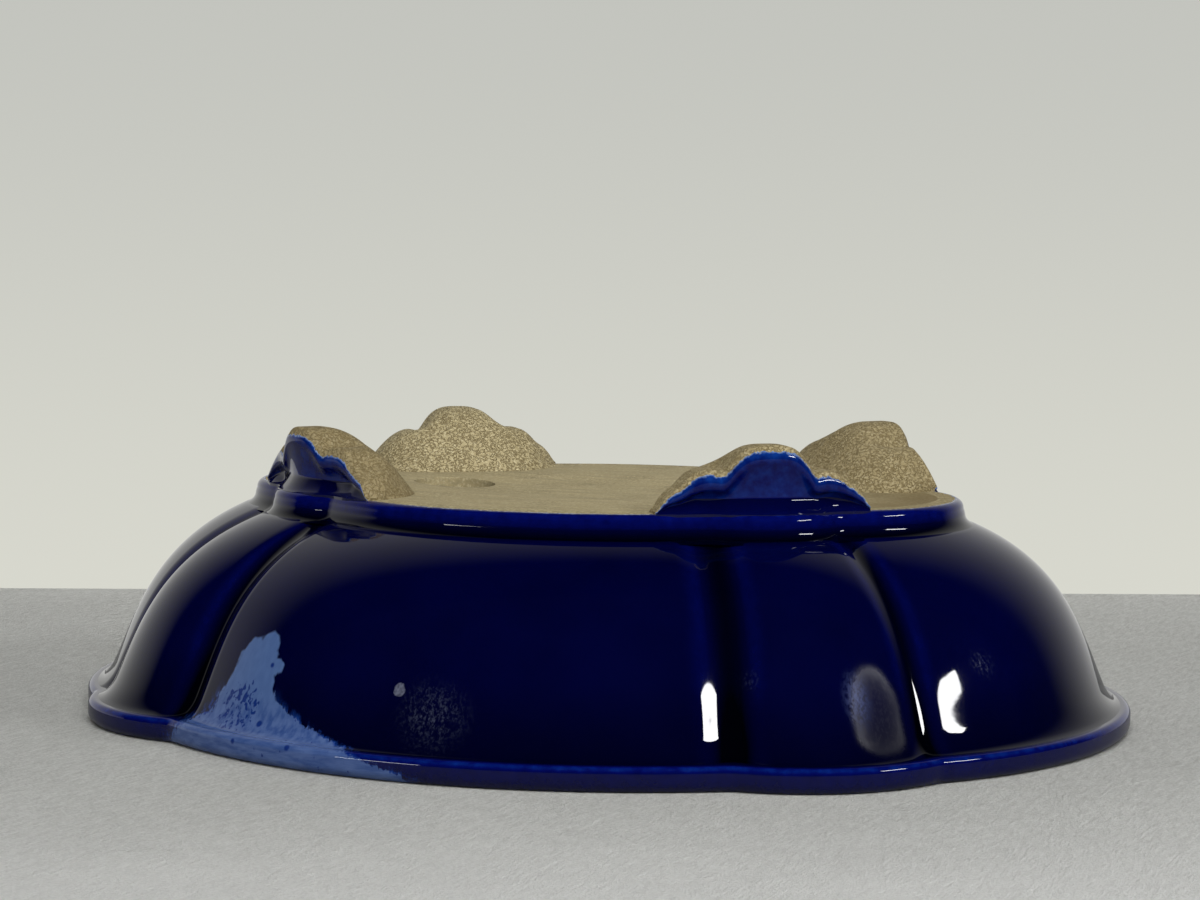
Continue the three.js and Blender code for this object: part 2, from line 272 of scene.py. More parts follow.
class Bench:
    """Adds nodes to a tree and wires them as they are added."""

    def __init__(self, tree):
        self.tree = tree

    def put(self, kind, settings=None, **inputs):
        """A node with its settings and its inputs, which go by name or, as in i0, by number."""
        node = self.tree.nodes.new(kind)
        for key, value in (settings or {}).items():
            setattr(node, key, value)
        for key, value in inputs.items():
            target = node.inputs[int(key[1:])] if key[0] == "i" and key[1:].isdigit() else node.inputs[key]
            if isinstance(value, bpy.types.NodeSocket):
                self.tree.links.new(value, target)
            else:
                target.default_value = value
        return node

    def maths(self, operation, a, b=0.0, clamp=False):
        return self.put("ShaderNodeMath", {"operation": operation, "use_clamp": clamp}, i0=a, i1=b).outputs[0]

    def plus(self, a, b, clamp=False):
        return self.maths("ADD", a, b, clamp)

    def minus(self, a, b, clamp=False):
        return self.maths("SUBTRACT", a, b, clamp)

    def times(self, a, b, clamp=False):
        return self.maths("MULTIPLY", a, b, clamp)

    def most(self, a, b):
        return self.maths("MAXIMUM", a, b)

    def swing(self, value, width):
        """How far a value from nought to one lies from its middle, times a width."""
        return self.times(self.minus(value, 0.5), width)

    def grade(self, value, low, high, to_low=0.0, to_high=1.0):
        """Eases from one result at low to another at high, and stays there past them."""
        node = self.put("ShaderNodeMapRange", {"interpolation_type": "SMOOTHSTEP"}, i0=value, i1=low, i2=high,
                        i3=to_low, i4=to_high)
        return node.outputs[0]

    def mix(self, share, a, b):
        """Two colours mixed, as blend mixes two values."""
        return self.put("ShaderNodeMix", {"data_type": "RGBA"}, i0=share, i6=a, i7=b).outputs[2]

    def blend(self, share, a, b):
        return self.put("ShaderNodeMix", i0=share, i2=a, i3=b).outputs[0]

    def grain(self, vector, scale, detail=2.0, roughness=0.5):
        return self.put("ShaderNodeTexNoise", Vector=vector, Scale=scale, Detail=detail,
                        Roughness=roughness).outputs["Fac"]

    def stretch(self, vector, scale):
        return self.put("ShaderNodeMapping", Vector=vector, Scale=scale).outputs[0]

    def axis(self, vector, letter):
        return self.put("ShaderNodeSeparateXYZ", i0=vector).outputs[letter]

    def dot(self, vector, direction):
        return self.put("ShaderNodeVectorMath", {"operation": "DOT_PRODUCT"}, i0=vector,
                        i1=direction).outputs["Value"]

    def near(self, position, point, reach, fade, ragged, tall=1.0):
        """One close to a point of the pot, given in millimetres, and nought past its reach."""
        away = self.put("ShaderNodeVectorMath", {"operation": "DISTANCE"},
                        i0=self.stretch(position, (1.0, 1.0, 1.0 / tall)),
                        i1=(point[0] * MM, point[1] * MM, point[2] * MM / tall)).outputs["Value"]
        away = self.plus(away, self.swing(ragged, reach * MM))
        return self.grade(away, reach * MM, (reach - fade) * MM)

    def bump(self, height):
        return self.put("ShaderNodeBump", Distance=1.0, Height=height).outputs[0]

    def finish(self, shader, kind="ShaderNodeOutputMaterial"):
        self.put(kind, Surface=shader.outputs[0])


def colour(r, g, b):
    return (r, g, b, 1.0)


def effect(name, inputs):
    """A node group that gives a colour, a roughness and a height, with its bench and its inputs' sockets."""
    group = bpy.data.node_groups.new(name, "ShaderNodeTree")
    group.interface.new_socket(name="Position", in_out="INPUT", socket_type="NodeSocketVector")
    for key, default in inputs.items():
        made = group.interface.new_socket(name=key, in_out="INPUT", socket_type="NodeSocketFloat")
        made.default_value = default
    for key, kind in (("Color", "NodeSocketColor"), ("Roughness", "NodeSocketFloat"),
                      ("Height", "NodeSocketFloat")):
        group.interface.new_socket(name=key, in_out="OUTPUT", socket_type=kind)
    bench = Bench(group)
    given = bench.put("NodeGroupInput")
    return group, bench, [given.outputs[key] for key in ("Position", *inputs)]


# the cobalt glaze: near black where it lies thick, blue where it runs thin
glaze_group, b, (position, thin, milk) = effect("cobalt_glaze", {"Thin": 0.0, "Milk": far_from_milk})
drift = b.grain(position, 45.0, 3.0)
mottle = b.grain(position, 420.0, 4.0, 0.65)
thinness = b.plus(thin, b.swing(mottle, thin), True)
deep_blue = b.mix(drift, colour(0.0001, 0.0003, 0.010), colour(0.0004, 0.0008, 0.026))
cobalt_blue = b.mix(mottle, colour(0.0003, 0.0008, 0.043), colour(0.0009, 0.0036, 0.092))
thin_blue = b.mix(mottle, colour(0.001, 0.010, 0.105), colour(0.004, 0.038, 0.215))
pooled_black = colour(0.0001, 0.0002, 0.0012)
speck_blue = colour(0.006, 0.02, 0.12)
halo_blue = colour(0.006, 0.030, 0.17)
worn_and_sheen_blue = colour(0.055, 0.075, 0.19)
dust_grey = colour(0.20, 0.24, 0.36)
spot_white = colour(0.105, 0.115, 0.165)
body = b.mix(b.times(thinness, 2.0, True), deep_blue, cobalt_blue)
body = b.mix(b.minus(b.times(thinness, 2.0), 1.0, True), body, thin_blue)
body = b.mix(b.times(thin, -1.6, True), body, pooled_black)

# the milky run: feathered and streaked low down, with a faint halo. Specks crowd together on its left,
# and they and a few bigger spots let the dark glaze show
crowded_place = (-45.5, -89.0, 10.0)
clear_spots = (((-38.5, -93.5, 7.7), 1.0), ((-42.8, -97.1, 4.3), 0.9), ((-27.2, -101.6, 4.7), 0.9),
               ((-38.6, -87.5, 19.5), 0.9), ((-49.4, -86.1, 12.7), 0.7))
feather = b.grain(b.stretch(position, (1000.0, 1000.0, 240.0)), 1.0, 4.0, 0.7)
scallops = b.grain(position, 230.0, 2.0)
up = b.axis(position, "Z")
low = b.grade(up, 0.016, 0.007)
on_lip = b.grade(up, 0.0068, 0.0048)
edge = b.plus(milk, b.swing(feather, b.plus(1.6, b.times(low, 11.0))))
edge = b.plus(edge, b.swing(scallops, 2.4))
milk_mask = b.grade(edge, -0.2, 0.5)
milk_halo = b.times(b.grade(edge, -3.4, 0.2), low)
crowd = b.most(b.near(position, crowded_place, reach=10.0, fade=6.0, ragged=drift), b.times(low, 0.42))
specks = b.grain(b.stretch(position, (1000.0, 1000.0, 620.0)), 1.0, 3.0, 0.6)
clouded = b.grade(b.minus(b.plus(specks, 0.20), b.times(crowd, 0.26)), 0.37, 0.44)
for place, reach in clear_spots:
    clouded = b.times(clouded, b.minus(1.0, b.near(position, place, reach, fade=0.5, ragged=scallops)))
fall = b.grain(b.stretch(position, (700.0, 700.0, 190.0)), 1.0, 3.0)
flow = b.grain(b.stretch(position, (120.0, 420.0, 900.0)), 1.0, 4.0, 0.6)
streak = b.blend(on_lip, fall, flow)
thick_milk = b.mix(fall, colour(0.042, 0.080, 0.200), colour(0.068, 0.118, 0.255))
thin_milk = b.mix(b.grade(streak, 0.3, 0.7), colour(0.014, 0.038, 0.150), colour(0.062, 0.100, 0.235))
milk_colour = b.mix(b.times(low, 0.75), thick_milk, thin_milk)
milk_colour = b.mix(clouded, speck_blue, milk_colour)
body = b.mix(b.times(milk_halo, b.grade(streak, 0.35, 0.6)), body, halo_blue)
glaze_colour = b.mix(milk_mask, body, milk_colour)
rough = b.grade(b.grain(position, 90.0, 4.0), 0.35, 0.75, 0.025, 0.06)

# where other pots have rubbed it: dull on the corner lobe and worn there, tinted paler with a painted hazy
# sheen, dusty in three places, and a white spot on the long side
rubbed_place = (89.8, -64.8, 15.0)
worn_and_sheen_place = (86.2, -66.6, 17.5)
white_spot = (-4.0, -95.1, 17.7)
dusty_places = (((5.0, -97.1, 12.6), 10.0), ((105.0, -37.0, 22.5), 5.5), ((65.2, -74.4, 21.5), 3.5))
scratches = b.grain(b.stretch(position, (1500.0, 1500.0, 800.0)), 1.0, 5.0, 0.75)
spot = b.near(position, white_spot, reach=1.5, fade=0.3, ragged=b.grain(position, 500.0))
rubbed = b.times(b.near(position, rubbed_place, reach=8.5, fade=7.0, ragged=drift, tall=1.9),
                 b.grade(scratches, 0.40, 0.52, 0.80, 1.0))
worn_and_sheen = b.times(b.near(position, worn_and_sheen_place, reach=4.4, fade=4.2, ragged=drift, tall=2.8),
               b.grade(scratches, 0.38, 0.60))
dusty = 0.0
for place, reach in dusty_places:
    dusty = b.most(dusty, b.times(b.near(position, place, reach, fade=reach * 0.95, ragged=drift),
                                  b.grade(scratches, 0.46, 0.66)))
rubbed = b.most(rubbed, b.times(dusty, 0.4))
rough = b.plus(rough, b.times(rubbed, 0.82))
rough = b.plus(rough, b.times(spot, 0.6), True)
# the worn patch is tinted paler: worn glaze with a painted hazy sheen
glaze_colour = b.mix(b.times(worn_and_sheen, 0.6), glaze_colour, worn_and_sheen_blue)
glaze_colour = b.mix(b.times(dusty, 0.10), glaze_colour, dust_grey)
glaze_colour = b.mix(b.times(spot, b.grade(scratches, 0.38, 0.60, 0.25, 0.80)), glaze_colour, spot_white)
ripple = b.times(b.grain(position, 260.0, 2.0), 0.000007)
b.put("NodeGroupOutput", Color=glaze_colour, Roughness=rough,
      Height=b.plus(ripple, b.times(milk_mask, 0.00002)))

# the bare clay: khaki stoneware with dark grog and iron specks and pale sand, smeared where it is wiped,
# and browned here and there in the kiln. A painted shade darkens each foot's clay with the same brown
pale_sand = colour(0.53, 0.47, 0.30)
dark_iron = colour(0.12, 0.088, 0.038)
smear_brown = colour(0.215, 0.182, 0.103)
toast_and_shade_brown = colour(0.13, 0.092, 0.035)
clay_group, b, (position, wiped, toasted) = effect("bare_clay", {"Wiped": 0.0, "Toasted": 0.0})
patches = b.grain(position, 60.0, 4.0)
ridges = b.grain(position, 930.0, 2.0, 0.5)
crackle = b.grade(b.maths("ABSOLUTE", b.minus(ridges, 0.5)), 0.075, 0.0)
grog = b.grain(position, 1500.0, 3.0, 0.6)
smear = b.grain(b.stretch(position, (50.0, 900.0, 900.0)), 1.0, 4.0, 0.65)
open_clay = b.minus(1.0, b.times(wiped, b.grade(patches, 0.66, 0.42, 0.35, 0.85)))
dark = b.times(b.most(crackle, b.grade(grog, 0.42, 0.32)), b.times(open_clay, 0.8))
smeared = b.times(b.grade(smear, 0.38, 0.62), b.times(wiped, 0.6))
right_end = b.grade(b.plus(b.axis(position, "X"), b.times(patches, 0.03)), 0.065, 0.095)
burnt = b.times(b.times(right_end, wiped), 0.75)
base = b.mix(patches, colour(0.27, 0.22, 0.112), colour(0.385, 0.325, 0.185))
base = b.mix(b.times(b.grade(grog, 0.50, 0.66), 0.55), base, pale_sand)
base = b.mix(dark, base, dark_iron)
base = b.mix(smeared, base, smear_brown)
# the kiln's browning and the feet's painted shade share one brown
base = b.mix(b.most(toasted, burnt), base, toast_and_shade_brown)
b.put("NodeGroupOutput", Color=base, Roughness=b.grade(grog, 0.3, 0.7, 0.92, 0.75),
      Height=b.minus(b.times(grog, 0.00010), b.times(dark, 0.00016)))


def clean_tree(owner):
    owner.use_nodes = True
    owner.node_tree.nodes.clear()
    return Bench(owner.node_tree)


def fired(name, wiped, toasted=0.0):
    """Clay with glaze over it where the piece's glaze attribute is above zero. The glaze's edge wanders,
    stands a little proud and ends in a pale fringe."""
    made = bpy.data.materials.new(name)
    b = clean_tree(made)
    position = b.put("ShaderNodeTexCoord").outputs["Object"]
    inside, thin, milk = (b.put("ShaderNodeAttribute", {"attribute_name": key}).outputs["Fac"]
                          for key in ("glaze", "thin", "milk"))
    glaze = b.put("ShaderNodeGroup", {"node_tree": glaze_group}, Position=position, Thin=thin,
                  Milk=milk).outputs
    clay = b.put("ShaderNodeGroup", {"node_tree": clay_group}, Position=position, Wiped=wiped,
                 Toasted=toasted).outputs
    ragged = b.plus(b.swing(b.grain(position, 900.0, 4.0, 0.6), 1.6),
                    b.swing(b.grain(position, 160.0, 2.0), 1.2))
    line = b.plus(inside, ragged)
    cover = b.grade(line, 0.0, 0.12)
    fringe = b.times(b.grade(line, 0.5, 0.08), 0.85)
    fringe_colour = b.mix(b.grain(position, 1300.0, 2.0), colour(0.03, 0.10, 0.36), colour(0.24, 0.34, 0.52))
    raised = b.times(b.grade(line, 0.0, 0.5), 0.00025)
    relief = b.plus(raised, b.blend(cover, clay["Height"], glaze["Height"]))
    surface = {
        "Base Color": b.mix(cover, clay["Color"], b.mix(fringe, glaze["Color"], fringe_colour)),
        "Roughness": b.blend(cover, clay["Roughness"], glaze["Roughness"]),
        "Normal": b.bump(relief),
        "IOR": 1.43,
    }
    b.finish(b.put("ShaderNodeBsdfPrincipled", **surface))
    return made


glazed_stoneware = fired("glazed_stoneware", 0.3)
wiped_stoneware = fired("wiped_stoneware", 1.0)
wall.data.materials.append(glazed_stoneware)
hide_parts("wall")
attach(wall, "root")

# The rim's lip. A strip of the same clay pressed round the mouth while soft, its outside rounded over
# and its face left flat. Glaze covers it all.
lip_overhang = 4.2
lip_top_radius = 1.5
lip_outer_radius = 2.2
lip_inner_radius = 1.4
# the grooves run wider round the lip's overhang
lip_groove_radius = 11.0
lip_bed = (1.6, 0.0, -3.0, -wall_thickness)
lip_outer_thin = 0.14
lip_top_thin = 0.46
lip_inner_thin = 0.5


def rounded(out, z, radius, first, last, steps):
    """A round in a ring's section, from one angle to another in degrees."""
    turned = [math.radians(between(first, last, i / steps)) for i in range(steps + 1)]
    return [(out + radius * math.cos(a), z + radius * math.sin(a)) for a in turned]


face_round = rounded(lip_overhang - lip_outer_radius, lip_outer_radius, lip_outer_radius, -90, 0, 10)
top_round = rounded(lip_overhang - lip_top_radius, lip_height - lip_top_radius, lip_top_radius, 0, 90, 9)
mouth_round = rounded(lip_inner_radius - wall_thickness, lip_inner_radius, lip_inner_radius, 180, 270, 6)
section = [(p, lip_outer_thin) for p in face_round]
for i, p in enumerate(top_round):
    section.append((p, lip_outer_thin + lip_top_thin * math.sin(math.pi * (i + 0.5) / len(top_round))))
section += [((grow, lip_height), 0.0) for grow in lip_bed]
section += [(p, lip_inner_thin) for p in mouth_round]
rows = []
for (grow, z), thin in section:
    radius = lip_groove_radius if grow > 1 else groove_radius
    rows.append([(p.x, p.y, z, well_glazed, thin) for p in outline(0, grow, radius)])
lip = loft("rim_lip", rows, closed=True)
lip.data.materials.append(glazed_stoneware)
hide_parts("rim_lip")
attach(lip, "root")

# The collar. A clay strip luted round the wall's top under the base, set in a little and flaring out
# onto the shoulder. Its top edge is rounded over, and the glaze ends just past it.
collar_height = 5.4
collar_inset = 1.5
collar_edge_radius = 1.9
collar_bed = -2.7
underside_z = shoulder_z + collar_height
face_top = underside_z - collar_edge_radius
edge_centre = -collar_inset - collar_edge_radius
glaze_end = edge_centre - 0.1
flare_end = (-1.15, shoulder_z + 2.3)
flare = ((1.7, shoulder_z - 0.74), (-0.5, shoulder_z + 0.1), (-1.0, shoulder_z + 0.9), flare_end)
flare_steps = 14
edge_steps = 9
# the rings over the top lie close together where the glaze ends
top_rings = (-3.7, -4.1, -4.8, -5.8, edge_grow)
shoulder_bed = 0.6
# how thin the glaze runs at the flare's foot, its end, the face's top and the rounded edge
flare_pool, flare_thin, face_thin, edge_thin = -0.6, 0.1, 0.36, 0.54

section = []
for i in range(flare_steps + 1):
    section.append((*bezier(flare, i / flare_steps), between(flare_pool, flare_thin, (i / flare_steps) ** 3)))
for share in (0.33, 0.67):
    section.append((between(flare_end[0], edge_centre + collar_edge_radius, share),
                    between(flare_end[1], face_top, share), between(flare_thin, face_thin, share)))
for i, p in enumerate(rounded(edge_centre, face_top, collar_edge_radius, 0, 90, edge_steps)):
    section.append((*p, between(face_thin, edge_thin, i / edge_steps)))
section += [(grow, underside_z, 1.0) for grow in top_rings]
section += [(edge_grow, shoulder_z, 1.0), (0.0, shoulder_z - shoulder_bed, 1.0)]
rows = []
for grow, z, thin in section:
    rows.append([(p.x, p.y, z, grow - glaze_end, thin) for p in outline(1, grow)])
band = loft("base_collar", rows, closed=True)
band.data.materials.append(glazed_stoneware)
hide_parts("base_band")
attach(band, "root")

# The floor. A slab rolled out of the same clay and luted inside the collar, wiped level while damp and
# a little dished. The two drain holes are cut through it and their edges rubbed round.
floor_z = shoulder_z - wall_edge
slab_long = 95
slab_short = 70
slab_depth = 8
slab_gap = 0.1
slab_drop = 0.01
cut_margin = 3
dish_depth = 1.3
dish_long = 52.0
dish_short = 30.0
drain_radius = 9.75
drain_x = 38.0
drain_round = 0.8
drill_length = 20
drill_middle = 50


def dish(x, y):
    """How deep the floor is dished at a place."""
    reach = min(1.0, (x / dish_long) ** 2 + (y / dish_short) ** 2)
    return dish_depth * (1 - reach ** 2) ** 2


deselect_all()
bpy.ops.mesh.primitive_grid_add(x_subdivisions=150, y_subdivisions=100, size=2 * MM)
floor = bpy.context.object
floor.name = floor.data.name = "floor_slab_dished"
for vertex in floor.data.vertices:
    x, y = vertex.co.x / MM * slab_long, vertex.co.y / MM * slab_short
    vertex.co = (x * MM, y * MM, (underside_z - slab_drop - dish(x, y)) * MM)
bpy.ops.object.mode_set(mode="EDIT")
bpy.ops.mesh.select_all(action="SELECT")
bpy.ops.mesh.extrude_region_move(TRANSFORM_OT_translate={"value": (0, 0, -slab_depth * MM)})
bpy.ops.mesh.select_all(action="SELECT")
bpy.ops.mesh.normals_make_consistent(inside=False)
bpy.ops.object.mode_set(mode="OBJECT")

# the slab is cut to the plan inside the collar, and then the holes are cut out of it
blank_plan = outline(1, edge_grow + slab_gap)
blank_rows = [[(p.x, p.y, z, 0, 0) for p in blank_plan] for z in (floor_z, underside_z + cut_margin)]
blank = loft("slab_blank", blank_rows, closed=False)
cutters = [(blank, "INTERSECT")]
for side in (-1, 1):
    deselect_all()
    bpy.ops.mesh.primitive_cylinder_add(vertices=96, radius=drain_radius * MM, depth=drill_length * MM,
                                        end_fill_type="NGON",
                                        location=(side * drain_x * MM, 0, drill_middle * MM))
    cutter = bpy.context.object
    bpy.ops.object.transform_apply(location=True, rotation=False, scale=False)
    cutters.append((cutter, "DIFFERENCE"))
for cutter, operation in cutters:
    cut = floor.modifiers.new("cut", "BOOLEAN")
    cut.object = cutter
    cut.operation = operation
    cut.solver = "EXACT"
    deselect_all()
    bpy.context.view_layer.objects.active = floor
    floor.select_set(True)
    bpy.ops.object.modifier_apply(modifier="cut")
    bpy.data.objects.remove(cutter)


def on_hole(vertex):
    away = math.hypot(abs(vertex.co.x) / MM - drain_x, vertex.co.y / MM)
    return abs(away - drain_radius) < 0.02


bpy.ops.object.mode_set(mode="EDIT")
bpy.ops.mesh.select_mode(type="EDGE")
bpy.ops.mesh.select_all(action="DESELECT")
mesh = bmesh.from_edit_mesh(floor.data)
for edge in mesh.edges:
    if all(on_hole(v) for v in edge.verts) and len(edge.link_faces) == 2 and edge.calc_face_angle(0) > 0.8:
        edge.select = True
bmesh.update_edit_mesh(floor.data)
bpy.ops.mesh.bevel(offset=drain_round * MM, segments=5, profile=0.5, clamp_overlap=True)
bpy.ops.object.mode_set(mode="OBJECT")
bpy.ops.object.shade_smooth_by_angle(angle=math.radians(40))
for key, value in (("glaze", well_bare), ("thin", 0.0), ("milk", far_from_milk)):
    layer = floor.data.attributes.get(key) or floor.data.attributes.new(key, "FLOAT", "POINT")
    layer.data.foreach_set("value", [value] * len(floor.data.vertices))
floor.data.materials.clear()
floor.data.materials.append(wiped_stoneware)
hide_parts("floor_slab")
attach(floor, "root")

# The feet. Cloud scrolls pressed in a mould and luted under the four corner lobes: a middle lobe with a
# worn tread and lower lobes on both sides. The glaze coats their hollow outer faces up to a beaded
# edge, and leaves the treads and inner sides bare.
foot_height = 14.8
foot_shift = 1.4
foot_depth = 22.8
foot_tip_depth = 8.4
tread_width = 4.0
foot_reach = (-24.4, 22.9)
foot_stations = 120
foot_base = -0.9
foot_lean = 2.9
foot_fillet = 0.7
# each lobe's middle along the foot, its half width, its height and how square it is, and then the lobe
# towards the end of the pot, which stands higher or lower from foot to foot
scrolls = [(0.0, 13.0, foot_height, 3.2), (-12.6, 8.8, 9.7, 2.5), (-18.2, 6.2, 5.9, 1.9)]
end_scroll = (13.0, 10.6, 1.9)
# the crest of its inner side: half its length, how square it is, and its height as a share of the foot's
back_length = 25
back_square = 1.9
back_height = 0.98
# a longer foot is drawn out past its middle lobe, and its lower lobes stand higher
middle_length = 8
drawn_growth = 0.6
# the foot bridges most of a groove, from a step at its bed
bridged = 0.85
bridge_step = 0.7
bridge_rise = (0.3, 3.5)
# how far outside the glaze's edge the tread and the inner side lie, and how far inside it the bed lies
tread_bare = -4.0
inner_bare = -6.0
bed_glazed = 3.0

start = Vector((base_plan["long"][0], -base_plan["long"][1]))
end = Vector((base_plan["end"][0], -base_plan["end"][1]))
along = (end - start).normalized()
outward = Vector((along.y, -along.x))
middle = (start + end) / 2 - along * foot_shift
bed_half_length = 45
bed_line = [p.xy - middle for p in outline(1, collar_bed)]
bed_line = sorted((p.dot(along), p.dot(outward)) for p in bed_line
                  if abs(p.dot(along)) < bed_half_length and p.dot(outward) > -foot_depth)
# the same line drawn tight over the grooves
bridge_line = []
for x, y in bed_line:
    while len(bridge_line) > 1:
        (x0, y0), (x1, y1) = bridge_line[-2:]
        if (x1 - x0) * (y - y1) < (y1 - y0) * (x - x1):
            break
        bridge_line.pop()
    bridge_line.append((x, y))


def follow(line, at):
    """How far out a line lies at a place along the foot."""
    for (x0, y0), (x1, y1) in zip(line, line[1:]):
        if x0 <= at <= x1:
            return between(y0, y1, (at - x0) / (x1 - x0))
    return line[0][1] if at < 0 else line[-1][1]


def bed_at(station):
    """How far out the collar carries the foot at a station, and how much farther out the foot's face
    stands above there, where it bridges a groove."""
    bed = follow(bed_line, station)
    bridge = bridged * (follow(bridge_line, station) - bed)
    return bed + min(bridge, bridge_step), max(0.0, bridge - bridge_step)


def scroll_height(station, end_height, stretch, crispness=9):
    """The height of the scroll's top edge: lobes that meet in notches, softer ones at a low crispness."""
    total = 0.0
    for centre, half, height, square in scrolls + [(*end_scroll[:2], end_height, end_scroll[2])]:
        lobe = height * (1 - min(1.0, abs(station - centre) / half) ** square)
        if centre < 0:
            lobe *= 1 - drawn_growth + drawn_growth * stretch
        total += max(0.0, lobe) ** crispness
    return total ** (1 / crispness)


def smooth(low, high, value):
    """Nought below low and one above high, easing in and out between them."""
    t = min(1.0, max(0.0, (value - low) / (high - low)))
    return t * t * (3 - 2 * t)


def foot_face(height):
    """The outer face's section: a fillet off the collar, a hollow that leans out, a bead and the edge. Each
    part is its curve, its steps, and how thin the glaze runs at its start and its end."""
    fold = min(1.0, height / 9)
    lean = foot_lean * fold
    hollow_z, bead_z, edge_z = 3.1 * fold, height - 4.5 * fold, height - 1.1 * fold
    fillet = ((0, 0), (-0.62 * lean, 0.6 * fold), (-lean, hollow_z))
    hollow = ((-lean, hollow_z), (-0.93 * lean, between(hollow_z, bead_z, 0.5)), (-0.5 * lean, bead_z))
    bead = ((-0.5 * lean, bead_z), (-0.20 * lean, height - 2.5 * fold), (-0.62 * lean, edge_z))
    edge = ((-0.62 * lean, edge_z), (-0.8 * lean, height - 0.05 * fold), (-1.1 * lean, height))
    points = [(0.0, 0.0, 0.1)]
    for curve, steps, first, last in ((fillet, 10, 0.12, 0.0), (hollow, 12, 0.60, 0.56),
                                      (bead, 10, 0.46, 0.9), (edge, 6, 0.9, 0.9)):
        for i in range(1, steps + 1):
            points.append((*bezier(curve, i / steps), between(first, last, i / steps)))
    return points


def foot_section(station, drawn, bare_edge, end_height, stretch):
    """The foot's section at one station, from its bed up the outer face, over the tread and down."""
    height = max(0.5, min(scroll_height(station, end_height, stretch), foot_height))
    full = foot_height * (1 - min(1.0, abs(station) / back_length) ** back_square) * back_height
    full = max(height, full)
    share = abs(station) / max(abs(foot_reach[0]), foot_reach[1])
    bed, bridge = bed_at(drawn)
    depth = between(foot_depth, foot_tip_depth, share ** 4)
    glaze_line = height - bare_edge * min(1.0, height / 8)
    points = []
    for offset, z, thin in foot_face(height):
        # over the bead the glaze ends sooner
        past = max(0.0, -offset - 2.0) if z > height / 2 else 0.0
        out = bed + offset + bridge * smooth(*bridge_rise, z)
        points.append((out, z, min(glaze_line - z - past, well_glazed), thin))
    bead_top = points[-1][0]
    inner_top = bead_top - tread_width
    for i in range(1, 5):
        points.append((between(bead_top, inner_top, i / 4), height, tread_bare, 0.0))
    steps = 26
    for i in range(1, steps + 1):
        inward = i / steps
        z = between(height, full, smooth(0.0, 0.45, inward)) * (1 - inward ** 2.1)
        # a small fillet down onto the floor
        z = (z + math.sqrt(z * z + foot_fillet ** 2)) / 2 - foot_fillet / 2 * smooth(0, 1, inward)
        out = between(inner_top, -depth - foot_fillet * smooth(0.7, 1, inward), inward)
        points.append((out, z, inner_bare, 0.0))
    points.append((-depth - foot_fillet, foot_base, inner_bare, 0.0))
    points.append((-depth / 2, foot_base, inner_bare, 0.0))
    points.append((bed, foot_base, bed_glazed, 0.1))
    return points


def foot_rows(sx, sy, bare_edge, end_height, stretch):
    rows = []
    for i in range(foot_stations + 1):
        station = between(*foot_reach, i / foot_stations)
        drawn = station + math.copysign((stretch - 1) * max(0.0, abs(station) - middle_length), station)
        row = []
        for out, z, glaze, thin in foot_section(station, drawn, bare_edge, end_height, stretch):
            point = middle + along * drawn + outward * out
            row.append((point.x * sx, point.y * sy, underside_z + z, glaze, thin))
        rows.append(row)
    return rows


# how each foot mirrors the front right one in x and y, its bare edge, its end lobe's height, its stretch
# and how much painted shade darkens its clay
feet = {
    "front_right": (1, 1, 1.2, 8.9, 0.97, 0.34),
    "front_left": (-1, 1, 1.7, 10.0, 1.18, 0.55),
    "back_right": (1, -1, 1.6, 9.6, 1.04, 0.44),
    "back_left": (-1, -1, 1.4, 9.3, 1.0, 0.04),
}
for side, (sx, sy, bare_edge, end_height, stretch, toasted) in feet.items():
    rows = foot_rows(sx, sy, bare_edge, end_height, stretch)
    foot = loft("foot_scroll_" + side, rows, closed=False, smooth_degrees=50)
    # each foot's clay gets its own amount of painted shade
    foot.data.materials.append(fired("stoneware_" + side, 0.0, toasted))
    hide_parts("foot_" + side)
    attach(foot, "root")

# The table and the wall behind it. A pale cloth lies flat under the pot, and a pale wall stands behind,
# painted lighter low down and darker higher up, where only the glaze's reflections reach it. Towards the pot
# it glows with a painted light, brightest low down and to the left. From its back the wall is clear, so that
# it hides nothing from there.
view_turn = math.radians(23.30)
to_camera = (math.sin(view_turn), -math.cos(view_turn), 0)
to_right = (math.cos(view_turn), math.sin(view_turn), 0)
wall_distance = 0.21


def stage_plane(name, location, rotation):
    deselect_all()
    bpy.ops.mesh.primitive_plane_add(size=6, location=location, rotation=rotation)
    made = bpy.context.object
    bpy.ops.object.transform_apply(location=True, rotation=True, scale=False)
    made.name = name
    material = bpy.data.materials.new(name)
    b = clean_tree(material)
    made.data.materials.append(material)
    return b, b.put("ShaderNodeTexCoord").outputs["Object"]


b, position = stage_plane("table_cloth", (0, 0, 0), (0, 0, 0))
threads = b.grain(position, 1300.0, 4.0, 0.7)
fibres = b.grain(b.stretch(position, (700.0, 170.0, 1.0)), 1.0, 3.0, 0.6)
folds = b.grain(position, 9.0, 3.0)
pile = b.plus(b.times(threads, 0.65), b.times(fibres, 0.35))
shade = b.plus(b.times(folds, 0.35), b.times(b.grade(pile, 0.36, 0.64), 0.65))
cloth = b.mix(shade, colour(0.385, 0.385, 0.365), colour(0.645, 0.65, 0.625))
# painted light makes it paler in front of the pot, and the glaze reflects it painted darker than it lies
# there
painted_light_in_front = b.grade(b.dot(position, to_camera), 0.08, 0.24)
cloth = b.mix(b.times(painted_light_in_front, 0.55), cloth, colour(0.80, 0.80, 0.785))
mirrored = b.put("ShaderNodeLightPath").outputs["Is Glossy Ray"]
cloth = b.mix(mirrored, cloth, colour(0.29, 0.29, 0.285))
relief = b.plus(b.times(pile, 0.0021), b.times(folds, 0.012))
surface = {"Base Color": cloth, "Roughness": 1.0, "Specular IOR Level": 0.0, "Normal": b.bump(relief)}
b.finish(b.put("ShaderNodeBsdfPrincipled", **surface))

